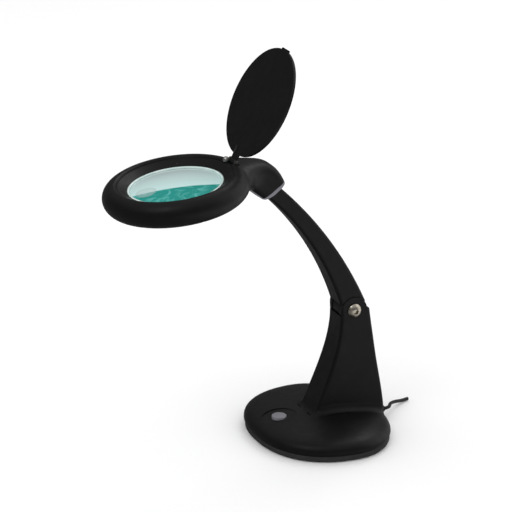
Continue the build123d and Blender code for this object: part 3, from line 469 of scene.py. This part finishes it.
def floor():
    """A plain pale floor. Glossy surfaces see it darker in front and paler to the rear."""
    bpy.ops.mesh.primitive_plane_add(size=FLOOR_SIZE, location=(0, 0, 0))
    plane = bpy.context.active_object
    plane.name = "floor"
    m = Nodes("floor")
    path = m.add("ShaderNodeLightPath")
    paper = m.mix(m.noise(3, 2), grey(0.90), grey(0.93))
    rearward = m.along((0, 0, 0), FLOOR_REARWARD)
    rear = m.spread(rearward, *FLOOR_IN_GLOSS, FLOOR_FRONT, FLOOR_REAR)
    m.link(m.mix(path.outputs["Is Glossy Ray"], paper, rear), m.shader.inputs["Base Color"])
    m.set(Roughness=0.7, Specular_IOR_Level=0.1)
    plane.data.materials.append(m.material)


def area_light(name, place, target, size, power):
    """A square light that faces its target."""
    light = bpy.data.lights.new(name, "AREA")
    light.size = size
    light.energy = power
    holder = bpy.data.objects.new(name, light)
    holder.location = place
    holder.rotation_euler = (Vector(target) - Vector(place)).to_track_quat("-Z", "Y").to_euler()
    bpy.context.scene.collection.objects.link(holder)


# Each patch of mirrored light fades in from this cosine of the angle to its middle.
CEILING_EDGE = 0.35
WINDOW_EDGE = 0.70


def world_light(strength, mirrored, walls, overhead, window):
    """A white world, in which glossy surfaces mirror dim walls, a soft ceiling and a window.

    strength lights everything else. mirrored points to the window. The other values are the
    brightness of the walls, the ceiling and the window in mirrored light.
    """
    world = bpy.data.worlds.new("studio")
    world.use_nodes = True
    tree = world.node_tree
    background = tree.nodes["Background"]
    background.inputs[0].default_value = (1, 1, 1, 1)
    place = tree.nodes.new("ShaderNodeTexCoord")

    def glow(direction, start, end, level):
        """A soft patch of light towards a direction."""
        dot = tree.nodes.new("ShaderNodeVectorMath")
        dot.operation = "DOT_PRODUCT"
        dot.inputs[1].default_value = Vector(direction).normalized()
        tree.links.new(place.outputs["Generated"], dot.inputs[0])
        patch = tree.nodes.new("ShaderNodeMapRange")
        patch.interpolation_type = "SMOOTHSTEP"
        patch.inputs["From Min"].default_value = start
        patch.inputs["From Max"].default_value = end
        patch.inputs["To Min"].default_value = 0.0
        patch.inputs["To Max"].default_value = level
        tree.links.new(dot.outputs["Value"], patch.inputs["Value"])
        return patch.outputs[0]

    total = tree.nodes.new("ShaderNodeMath")
    total.operation = "ADD"
    tree.links.new(glow((0, 0, 1), CEILING_EDGE, 1.0, overhead), total.inputs[0])
    tree.links.new(glow(mirrored, WINDOW_EDGE, 1.0, window), total.inputs[1])
    room = tree.nodes.new("ShaderNodeMath")
    room.operation = "ADD"
    room.inputs[1].default_value = walls
    tree.links.new(total.outputs[0], room.inputs[0])
    path = tree.nodes.new("ShaderNodeLightPath")
    choose = tree.nodes.new("ShaderNodeMix")
    tree.links.new(path.outputs["Is Glossy Ray"], choose.inputs[0])
    choose.inputs[2].default_value = strength
    tree.links.new(room.outputs[0], choose.inputs[3])
    tree.links.new(choose.outputs[0], background.inputs[1])
    bpy.context.scene.world = world


# Angles in degrees, from the front and up from the floor. The lens is in millimetres.
CAMERA_AZIMUTH = 66.09
CAMERA_ELEVATION = 20.20
CAMERA_DISTANCE = 2.5556
CAMERA_TARGET = Vector((0, -0.0726, 0.1921))
CAMERA_LENS = 189.1


def photo_camera():
    """Looks at the target from the photograph's angle and distance."""
    azimuth, elevation = math.radians(CAMERA_AZIMUTH), math.radians(CAMERA_ELEVATION)
    away = Vector(
        (
            math.sin(azimuth) * math.cos(elevation),
            -math.cos(azimuth) * math.cos(elevation),
            math.sin(elevation),
        )
    )
    data = bpy.data.cameras.new("camera")
    data.sensor_width = 36
    data.lens = CAMERA_LENS
    camera = bpy.data.objects.new("camera", data)
    camera.location = CAMERA_TARGET + CAMERA_DISTANCE * away
    camera.rotation_euler = (-away).to_track_quat("-Z", "Y").to_euler()
    bpy.context.scene.collection.objects.link(camera)
    bpy.context.scene.camera = camera


REAR_WINDOW = (0.1, 0.9, 0.40)
LIT_POINT = (0, -0.05, 0.2)
KEY_PLACE = (0.5, -1.2, 1.9)
REAR_PLACE = (-0.9, 0.9, 1.6)
floor()
world_light(1.0, REAR_WINDOW, walls=0.12, overhead=0.40, window=1.05)
area_light("key", KEY_PLACE, LIT_POINT, size=0.9, power=5.5)
area_light("rear", REAR_PLACE, LIT_POINT, size=0.8, power=5.0)
photo_camera()
bpy.context.scene.view_settings.view_transform = "Standard"
